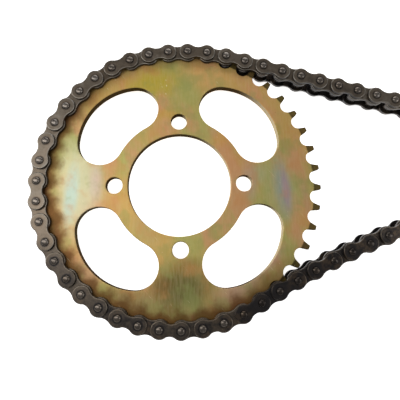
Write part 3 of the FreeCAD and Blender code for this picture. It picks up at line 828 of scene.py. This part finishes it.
@dataclass
class LinkSizes:
    """Sizes of the chain's links, in metres."""

    pitch: float = 12.7 * MM
    inner_width: float = 7.94 * MM
    plate: float = 2.0 * MM
    gap: float = 0.10 * MM
    roller: float = 8.51 * MM
    bush: float = 6.0 * MM
    pin: float = 4.5 * MM
    play: float = 0.05 * MM
    stand: float = 1.2 * MM
    inner_height: float = 11.8 * MM
    inner_waist: float = 8.6 * MM
    outer_height: float = 10.6 * MM
    outer_waist: float = 7.0 * MM
    bush_bevel: float = 0.15 * MM
    roller_bevel: float = 0.45 * MM
    pin_dome: tuple[Pair, ...] = ((0.0, 0.0), (0.70 * MM, 0.03 * MM), (1.25 * MM, 0.11 * MM),
                                  (1.65 * MM, 0.25 * MM), (1.95 * MM, 0.47 * MM),
                                  (2.14 * MM, 0.76 * MM), (2.25 * MM, 1.12 * MM))

    def inner_level(self) -> float:
        """Return the height of an inner plate's back face."""
        return self.inner_width / 2

    def outer_level(self) -> float:
        """Return the height of an outer plate's back face."""
        return self.inner_width / 2 + self.plate + self.gap

    def pin_end(self) -> float:
        """Return the height of a pin's end."""
        return self.outer_level() + self.plate + self.stand

    def inner_plate(self) -> PlateShape:
        """Return the inner plate's shape."""
        return PlateShape("inner_plate_shape", self.pitch, self.inner_height, self.inner_waist,
                          self.plate, self.bush / 2)

    def outer_plate(self) -> PlateShape:
        """Return the outer plate's shape."""
        return PlateShape("outer_plate_shape", self.pitch, self.outer_height, self.outer_waist,
                          self.plate, self.pin / 2)

    def pin_profile(self) -> Profile:
        """Draw the pin's profile, its ends domed by riveting.

        Returns:
            Radius and height of each ring.
        """
        end = [(radius, self.pin_end() - drop) for radius, drop in self.pin_dome]
        return end + [(radius, -height) for radius, height in reversed(end)]

    def ring_profile(self, outside: float, inside: float, length: float, bevel: float) -> Profile:
        """Draw the closed profile of a ring with bevelled rims.

        Args:
            outside: Outer radius.
            inside: Inner radius.
            length: Length along the axis.
            bevel: Width of the outer bevel.

        Returns:
            Radius and height of each ring.
        """
        half = length / 2
        return [(inside, half - bevel / 2), (inside + bevel / 2, half), (outside - bevel, half),
                (outside - bevel * 0.3, half - bevel * 0.3), (outside, half - bevel),
                (outside, bevel - half), (outside - bevel * 0.3, bevel * 0.3 - half),
                (outside - bevel, -half), (inside + bevel / 2, -half), (inside, bevel / 2 - half)]


class Kind(Enum):
    """The kinds of piece that links are made of, and each one's slot in the record."""

    OUTER_PLATES = ("outer_plates", "chain_steel")
    PINS = ("pins", "pin_steel")
    INNER_PLATES = ("inner_plates", "chain_steel")
    BUSHES = ("bushes", "chain_steel")
    ROLLERS = ("rollers", "roller_steel")

    @property
    def label(self) -> str:
        """Return the kind's name."""
        return self.value[0]

    @property
    def slot(self) -> str:
        """Return the record's material slot."""
        return self.value[1]


OUTER_KINDS = (Kind.OUTER_PLATES, Kind.PINS)
INNER_KINDS = (Kind.INNER_PLATES, Kind.BUSHES, Kind.ROLLERS)


@dataclass
class LayingTree:
    """A Geometry Nodes tree that lays one piece twice on every link of a row.

    A link's two pieces are half a turn apart about its cross axis, so one serves for the two
    plates of a link as well as for its two pins, bushes or rollers.
    """

    name: str = "LayPieces"
    inputs: tuple[tuple[str, str], ...] = (
        ("Geometry", "NodeSocketGeometry"), ("Piece", "NodeSocketObject"),
        ("Reach", "NodeSocketFloat"), ("Level", "NodeSocketFloat"),
        ("Darkest Tone", "NodeSocketFloat"), ("Lightest Tone", "NodeSocketFloat"),
        ("Seed", "NodeSocketInt"), ("Finish", "NodeSocketMaterial"))
    tree: bpy.types.NodeTree = field(init=False)

    def __post_init__(self) -> None:
        """Build the tree."""
        self.tree = bpy.data.node_groups.new(self.name, "GeometryNodeTree")
        for name, kind in self.inputs:
            self.tree.interface.new_socket(name=name, in_out="INPUT", socket_type=kind)
        self.tree.interface.new_socket(name="Geometry", in_out="OUTPUT",
                                       socket_type="NodeSocketGeometry")
        source = self.tree.nodes.new("NodeGroupInput")
        given = source.outputs
        piece = self._add("GeometryNodeObjectInfo", {"Object": given["Piece"]})
        offset = self._add("ShaderNodeCombineXYZ", {"X": given["Reach"], "Z": given["Level"]})
        first = self._add("GeometryNodeTransform", {"Geometry": piece.outputs["Geometry"],
                                                    "Translation": offset.outputs[0]})
        second = self._add("GeometryNodeTransform", {"Geometry": first.outputs[0],
                                                     "Rotation": (0.0, math.pi, 0.0)})
        both = self._add("GeometryNodeJoinGeometry", {"Geometry": first.outputs[0]})
        self.tree.links.new(second.outputs[0], both.inputs["Geometry"])
        turn = self._add("GeometryNodeInputNamedAttribute", {"Name": "turn"}, data_type="FLOAT")
        upright = self._add("ShaderNodeCombineXYZ", {"Z": turn.outputs["Attribute"]})
        laid = self._add("GeometryNodeInstanceOnPoints",
                         {"Points": given["Geometry"], "Instance": both.outputs[0],
                          "Rotation": upright.outputs[0]})
        index = self._add("GeometryNodeInputIndex", {})
        tone = self._add("FunctionNodeRandomValue",
                         {2: given["Darkest Tone"], 3: given["Lightest Tone"],
                          "ID": index.outputs[0], "Seed": given["Seed"]}, data_type="FLOAT")
        marked = self._add("GeometryNodeStoreNamedAttribute",
                           {"Geometry": laid.outputs[0], "Name": "tone", "Value": tone.outputs[1]},
                           data_type="FLOAT", domain="INSTANCE")
        real = self._add("GeometryNodeRealizeInstances", {"Geometry": marked.outputs[0]})
        dressed = self._add("GeometryNodeSetMaterial",
                            {"Geometry": real.outputs[0], "Material": given["Finish"]})
        result = self.tree.nodes.new("NodeGroupOutput")
        self.tree.links.new(dressed.outputs[0], result.inputs["Geometry"])

    def _add(self, kind: str, links: dict, **settings: object) -> bpy.types.Node:
        """Add a node to the tree.

        Args:
            kind: The node's type name.
            links: Links or constants by input.
            **settings: Properties to set first.

        Returns:
            The node.
        """
        node = self.tree.nodes.new(kind)
        for key, value in settings.items():
            setattr(node, key, value)
        for key, value in links.items():
            if isinstance(value, bpy.types.NodeSocket):
                self.tree.links.new(value, node.inputs[key])
            else:
                node.inputs[key].default_value = value
        return node

    def lay(self, name: str, spots: list["Spot"], values: dict[str, object]) -> bpy.types.Object:
        """Lay pieces on a row of links.

        Args:
            name: Name of the result.
            spots: Where the links lie.
            values: The tree's inputs by name.

        Returns:
            One plain mesh object with all the pieces.
        """
        mesh = bpy.data.meshes.new(name + "_row")
        mesh.from_pydata([(spot.x, spot.y, 0.0) for spot in spots], [], [])
        store(mesh, "turn", [spot.turn for spot in spots])
        row = linked(name + "_row", mesh)
        modifier = row.modifiers.new("Lay", "NODES")
        modifier.node_group = self.tree
        for item in self.tree.interface.items_tree:
            if item.in_out == "INPUT" and item.name in values:
                modifier[item.identifier] = values[item.name]
        return shaded(plain(row, name))


# --- where the links lie

@dataclass(frozen=True)
class Spot:
    """The middle of a link and its turn about Z."""

    x: float
    y: float
    turn: float

    @staticmethod
    def between(first: Vector, second: Vector) -> "Spot":
        """Return the spot of a link between two pins."""
        middle, along = (first + second) / 2, second - first
        return Spot(middle.x, middle.y, math.atan2(along.y, along.x))


def joint_place(name: str) -> Vector:
    """Return a joint's place in the plane of the chain."""
    found = next(joint for joint in frame["joints"] if joint["name"] == name)
    return Vector(found["pos_m"][:2])


def mount_place(name: str) -> Vector:
    """Return a mount's place in the plane of the chain."""
    found = next(mount for mount in frame["record"]["mounts"] if mount["name"] == name)
    return Vector(found["pos_m"][:2])


def node_middle(node: str) -> Vector:
    """Return the middle of a node's box in the plane of the chain."""
    low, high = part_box(node)
    return ((low + high) / 2).xy


def turned_about(point: Vector, centre: Vector, angle: float) -> Vector:
    """Return a point turned about a centre."""
    return centre + Matrix.Rotation(angle, 2) @ (point - centre)


# --- sub-assemblies

@dataclass
class Chain:
    """All the links: one mesh for each kind of piece on each body."""

    sizes: LinkSizes
    tree: LayingTree
    wrap_links: int = 24
    seating_links: int = 4
    upper_links: int = 13
    lower_links: int = 11
    front_wrap_links: int = 6
    front_teeth: int = 14
    pin_sides: int = 20
    bush_sides: int = 16
    roller_sides: int = 24
    wrap_seed: int = 11
    run_seed: int = 31
    # Tone range of each region's links: random within a range, the ranges themselves painted shade, the lower run
    # darkest.
    tones: dict[str, Pair] = field(default_factory=lambda: {
        "rear": (0.40, 0.60), "upper": (0.40, 0.58), "lower": (0.02, 0.16), "front": (0.3, 0.5)})
    # Pins are lifted a little lighter, a painted highlight.
    tone_lifts: dict[Kind, float] = field(default_factory=lambda: {Kind.PINS: 0.04})
    shapes: dict[Kind, bpy.types.Object] = field(init=False)
    reaches: dict[Kind, Pair] = field(init=False)
    finishes: dict[str, bpy.types.Material] = field(init=False)

    def __post_init__(self) -> None:
        """Make one piece of each kind and the finishes."""
        sizes = self.sizes
        reach = sizes.pitch / 2
        bush_length = sizes.inner_width + 2 * sizes.plate
        roller_length = sizes.inner_width - 4 * sizes.play
        bush = sizes.ring_profile(sizes.bush / 2, sizes.pin / 2 + sizes.play, bush_length,
                                  sizes.bush_bevel)
        roller = sizes.ring_profile(sizes.roller / 2, sizes.bush / 2 + sizes.play, roller_length,
                                    sizes.roller_bevel)
        self.shapes = {
            Kind.OUTER_PLATES: sizes.outer_plate().build(),
            Kind.INNER_PLATES: sizes.inner_plate().build(),
            Kind.PINS: turned("pin_shape", sizes.pin_profile(), self.pin_sides, False),
            Kind.BUSHES: turned("bush_shape", bush, self.bush_sides, True),
            Kind.ROLLERS: turned("roller_shape", roller, self.roller_sides, True),
        }
        self.reaches = {Kind.OUTER_PLATES: (0.0, sizes.outer_level()),
                        Kind.INNER_PLATES: (0.0, sizes.inner_level()),
                        Kind.PINS: (reach, 0.0), Kind.BUSHES: (reach, 0.0),
                        Kind.ROLLERS: (reach, 0.0)}
        self.finishes = {
            "chain_steel": OiledSteel("oiled_chain_steel").build(),
            # The pins take less of the painted shade towards the bottom.
            "pin_steel": OiledSteel("oiled_pin_steel", dark=(0.022, 0.018, 0.016),
                                    middle=(0.10, 0.085, 0.072), light=(0.30, 0.28, 0.26),
                                    roughness=0.27, metallic=0.92, seed_turn=0.9, bottom_shade=0.1).build(),
            "roller_steel": OiledSteel("oiled_roller_steel", dark=(0.012, 0.011, 0.011),
                                       middle=(0.05, 0.045, 0.042), light=(0.16, 0.15, 0.14),
                                       roughness=0.26, metallic=0.9, seed_turn=2.1).build(),
        }

    def lay(self, body: str, label: str, kinds: tuple[Kind, ...], spots: list[Spot],
            nodes: list[str], region: str, seed: int) -> None:
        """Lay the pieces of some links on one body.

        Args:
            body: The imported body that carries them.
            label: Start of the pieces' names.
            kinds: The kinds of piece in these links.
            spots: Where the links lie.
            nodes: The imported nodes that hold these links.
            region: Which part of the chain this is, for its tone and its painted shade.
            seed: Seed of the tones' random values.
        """
        for kind in kinds:
            lift = self.tone_lifts.get(kind, 0.0)
            darkest, lightest = (tone + lift for tone in self.tones[region])
            reach, level = self.reaches[kind]
            name = "%s_%s" % (label, kind.label)
            piece = self.tree.lay(name, spots, {
                "Piece": self.shapes[kind], "Reach": reach, "Level": level,
                "Darkest Tone": darkest, "Lightest Tone": lightest, "Seed": seed,
                "Finish": self.finishes[kind.slot]})
            stands_for = [n for n in nodes if n.endswith(kind.label)] or nodes
            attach(piece, body)
            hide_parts(*stands_for)
            LOG.info("%s: %d links, %d faces", name, len(spots), len(piece.data.polygons))

    def build(self) -> None:
        """Lay every link of the chain."""
        self._wrap_rear()
        seating, upper, lower = (
            ["%s_%02d" % (label, number + 1) for number in range(count)] for label, count in (
                ("seating_link", self.seating_links), ("upper_run_link", self.upper_links),
                ("lower_run_link", self.lower_links)))
        entry = self._run(seating, "seating_pivot", True, "rear")
        self._check_pin(entry, "upper_entry_pivot")
        front = self._run(upper, "upper_entry_pivot", True, "upper")
        self._check_pin(front, "front_sprocket_turn")
        self._wrap_front(front)
        self._run(["release_link_01"], "release_pivot", False, "lower")
        self._run(lower, "lower_exit_pivot", True, "lower")

    @staticmethod
    def _check_pin(place: Vector, joint: str) -> None:
        """Stop if a run of links doesn't end on its joint."""
        if (place - joint_place(joint)).length > PIN_TOLERANCE:
            raise ValueError("the links don't end on " + joint)

    def _wrap_rear(self) -> None:
        """Lay the links on the rear sprocket."""
        first, last = joint_place("seating_pivot"), joint_place("release_pivot")
        swept = math.atan2(last.y, last.x) - math.atan2(first.y, first.x)
        step = (swept % (2 * math.pi)) / self.wrap_links
        pins = [turned_about(first, Vector((0, 0)), step * k) for k in range(self.wrap_links + 1)]
        self._wrap("rear_sprocket", "rear_wrap", pins, "rear")

    def _wrap_front(self, first: Vector) -> None:
        """Lay the links on the front sprocket.

        Args:
            first: Place of the wrap's first pin.
        """
        centre = mount_place("keeper_holes")
        step = -2 * math.pi / self.front_teeth
        pins = [turned_about(first, centre, step * k) for k in range(self.front_wrap_links + 1)]
        self._wrap("front_sprocket", "front_wrap", pins, "front")

    def _wrap(self, body: str, label: str, pins: list[Vector], region: str) -> None:
        """Lay the links of a wrap, outer and inner ones in turn.

        Args:
            body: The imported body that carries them.
            label: Start of its nodes' names.
            pins: Places of the pins, in order.
            region: Which part of the chain this is.
        """
        spots = [Spot.between(a, b) for a, b in zip(pins, pins[1:])]
        nodes = frame["record"]["behaviour"]["bodies"][body]
        wrap = [node for node in nodes if node.startswith(label)]
        for number, kinds in enumerate((OUTER_KINDS, INNER_KINDS)):
            self.lay(body, "chain_" + label, kinds, spots[number::2], wrap, region,
                     self.wrap_seed + number)

    def _run(self, nodes: list[str], start: str, starts_inner: bool, region: str) -> Vector:
        """Lay a row of links, each with its own node.

        Args:
            nodes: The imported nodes, one for each link, in order.
            start: The joint at the first link's back pin.
            starts_inner: Whether the first link is an inner one.
            region: Which part of the chain this is.

        Returns:
            The place of the last link's fore pin.
        """
        bodies = frame["record"]["behaviour"]["bodies"]
        pin = joint_place(start)
        rows: dict[tuple[str, bool], list[tuple[str, Spot]]] = {}
        for number, node in enumerate(nodes):
            after = 2 * node_middle(node) - pin
            inner = (number % 2 == 0) == starts_inner
            body = next(name for name, members in bodies.items() if node in members)
            rows.setdefault((body, inner), []).append((node, Spot.between(pin, after)))
            pin = after
        for number, ((body, inner), links) in enumerate(rows.items()):
            label = "%s_%s" % (body, "inner" if inner else "outer")
            kinds = INNER_KINDS if inner else OUTER_KINDS
            self.lay(body, label, kinds, [spot for _, spot in links], [node for node, _ in links],
                     region, self.run_seed + number)
        return pin


@dataclass
class RoundedPiece:
    """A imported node's own shape, with its sharp edges rounded."""

    node: str
    body: str
    suffix: str
    rounding: float
    material: bpy.types.Material
    slot: str
    tone: float = 0.35
    steps: int = 2
    sharpest: float = 30.0
    flattest: float = 0.5
    merge: float = 0.001 * MM

    def build(self) -> None:
        """Dress the node."""
        rounded = self._rounded()
        rounded.data.materials.append(self.material)
        store(rounded.data, "tone", [self.tone] * len(rounded.data.vertices))
        # How far each vertex faces left, towards the left softbox, for the painted highlight on the plating's
        # walls.
        store(rounded.data, "facing", [-vertex.normal.x for vertex in rounded.data.vertices])
        piece = shaded(rounded)
        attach(piece, self.body)
        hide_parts(self.node)
        LOG.info("%s: %d faces", piece.name, len(piece.data.polygons))

    def _rounded(self) -> bpy.types.Object:
        """Copy the node's shape, merged by distance, and round its sharp edges.

        Returns:
            The copy, a plain mesh object.
        """
        name = self.node + self.suffix
        mesh = frame["nodes"][self.node].data.copy()
        mesh.materials.clear()
        work = bmesh.new()
        work.from_mesh(mesh)
        bmesh.ops.remove_doubles(work, verts=work.verts, dist=self.merge)
        bmesh.ops.dissolve_limit(work, angle_limit=math.radians(self.flattest), verts=work.verts,
                                 edges=work.edges)
        work.to_mesh(mesh)
        work.free()
        copied = linked(name, mesh)
        bevel = copied.modifiers.new("Rounding", "BEVEL")
        bevel.width = self.rounding
        bevel.segments = self.steps
        bevel.limit_method = "ANGLE"
        bevel.angle_limit = math.radians(self.sharpest)
        return plain(copied, name)


@dataclass
class ConnectingLink:
    """The link that opens: two pins on a plate, a loose plate and a spring clip."""

    chain: Chain
    body: str = "connecting_link"
    rounding: float = 0.12 * MM

    def build(self) -> None:
        """Dress the link's three nodes."""
        parts = (("connecting_link_pins", self.chain.finishes["pin_steel"], "pin_steel"),
                 ("connecting_link_plate", self.chain.finishes["chain_steel"], "chain_steel"),
                 ("connecting_link_clip", SpringSteel().build(), "spring_steel"))
        for node, material, slot in parts:
            RoundedPiece(node, self.body, "_rounded", self.rounding, material, slot).build()


@dataclass
class Sprockets:
    """The rear and the front sprocket, with the rounded edges of blanked plates."""

    rear_rounding: float = 0.38 * MM
    front_rounding: float = 0.3 * MM

    def build(self) -> None:
        """Dress both sprockets."""
        centre = mount_place("keeper_holes")
        tempered = TemperedSteel("tempered_steel", (centre.x, centre.y)).build()
        parts = (("rear_sprocket", self.rear_rounding, YellowZinc().build(), "gold_plating"),
                 ("front_sprocket", self.front_rounding, tempered, "hardened_steel"))
        for node, rounding, material, slot in parts:
            RoundedPiece(node, node, "_plate", rounding, material, slot).build()


@dataclass(frozen=True)
class Softbox:
    """A soft light that faces the rear sprocket."""

    name: str
    place: Point
    width: float
    length: float
    watts: float
    colour: Colour

    def build(self) -> None:
        """Add the light."""
        data = bpy.data.lights.new(self.name, "AREA")
        data.shape = "RECTANGLE"
        data.size, data.size_y = self.width, self.length
        data.energy = self.watts
        data.color = self.colour
        light = linked(self.name, data)
        light.location = self.place
        light.rotation_euler = (-Vector(self.place)).to_track_quat("-Z", "Y").to_euler()


@dataclass
class Studio:
    """Floor, soft lights and camera."""

    floor_drop: float = 0.15 * MM
    floor_size: float = 6.0
    floor_colour: Colour = (0.9, 0.9, 0.9)
    floor_glow: float = 0.85
    camera_place: Point = (0.00705, -0.04052, 0.27306)
    camera_turn: Point = (10.405, -2.346, -1.389)
    lens: float = 39.04
    sensor: float = 36.0
    clips: Pair = (0.01, 20.0)
    shift: Pair = (-0.025, -0.075)
    horizon: tuple[float, Colour] = (0.08, (1.0, 1.0, 1.0))
    zenith: tuple[float, Colour] = (0.40, (0.40, 0.40, 0.40))
    lights: tuple[Softbox, ...] = (
        Softbox("left_softbox", (-0.44, 0.10, 0.60), 0.26, 1.0, 3.2, (1.0, 0.985, 0.96)),
        Softbox("back_softbox", (0.10, 0.75, 0.45), 0.8, 0.3, 3.0, (1.0, 1.0, 1.0)),
        Softbox("right_softbox", (0.75, -0.10, 0.55), 0.3, 0.6, 1.8, (0.97, 0.985, 1.0)),
    )

    def build(self) -> None:
        """Build the stage."""
        self._floor()
        self._world()
        for light in self.lights:
            light.build()
        self._camera()

    def _floor(self) -> None:
        """Make the pale floor, a light table's top."""
        half = self.floor_size / 2
        level = CAD_BOX[0].z - self.floor_drop
        corners = [(-half, -half, level), (half, -half, level),
                   (half, half, level), (-half, half, level)]
        floor = new_object("floor", corners, [(0, 1, 2, 3)])
        shader = Shader("pale_floor")
        floor.data.materials.append(shader.finish(
            Base_Color=self.floor_colour, Roughness=0.9, Emission_Color=(1.0, 1.0, 1.0),
            Emission_Strength=self.floor_glow))

    def _world(self) -> None:
        """Make the soft surroundings, white at the horizon and pale grey above."""
        world = bpy.data.worlds.new("studio")
        world.use_nodes = True
        nodes, links = world.node_tree.nodes, world.node_tree.links
        coordinates = nodes.new("ShaderNodeTexCoord")
        height = nodes.new("ShaderNodeSeparateXYZ")
        ramp = nodes.new("ShaderNodeValToRGB")
        for element, (level, colour) in zip(ramp.color_ramp.elements, (self.horizon, self.zenith)):
            element.position = level
            element.color = (*colour, 1.0)
        links.new(coordinates.outputs["Generated"], height.inputs[0])
        links.new(height.outputs["Z"], ramp.inputs["Fac"])
        links.new(ramp.outputs["Color"], nodes["Background"].inputs["Color"])
        bpy.context.scene.world = world
        bpy.context.scene.view_settings.view_transform = "Standard"

    def _camera(self) -> None:
        """Add the camera."""
        data = bpy.data.cameras.new("camera")
        data.lens = self.lens
        data.sensor_width = self.sensor
        data.shift_x, data.shift_y = self.shift
        data.clip_start, data.clip_end = self.clips
        camera = linked("camera", data)
        camera.location = self.camera_place
        camera.rotation_euler = [math.radians(angle) for angle in self.camera_turn]
        bpy.context.scene.camera = camera


def main() -> None:
    """Build the whole scene and report each piece."""
    logging.basicConfig(level=logging.INFO, format="%(name)s %(message)s")
    chain = Chain(LinkSizes(), LayingTree())
    chain.build()
    ConnectingLink(chain).build()
    Sprockets().build()
    for shape in chain.shapes.values():
        bpy.data.objects.remove(shape)
    Studio().build()


if __name__ == "__main__":
    main()
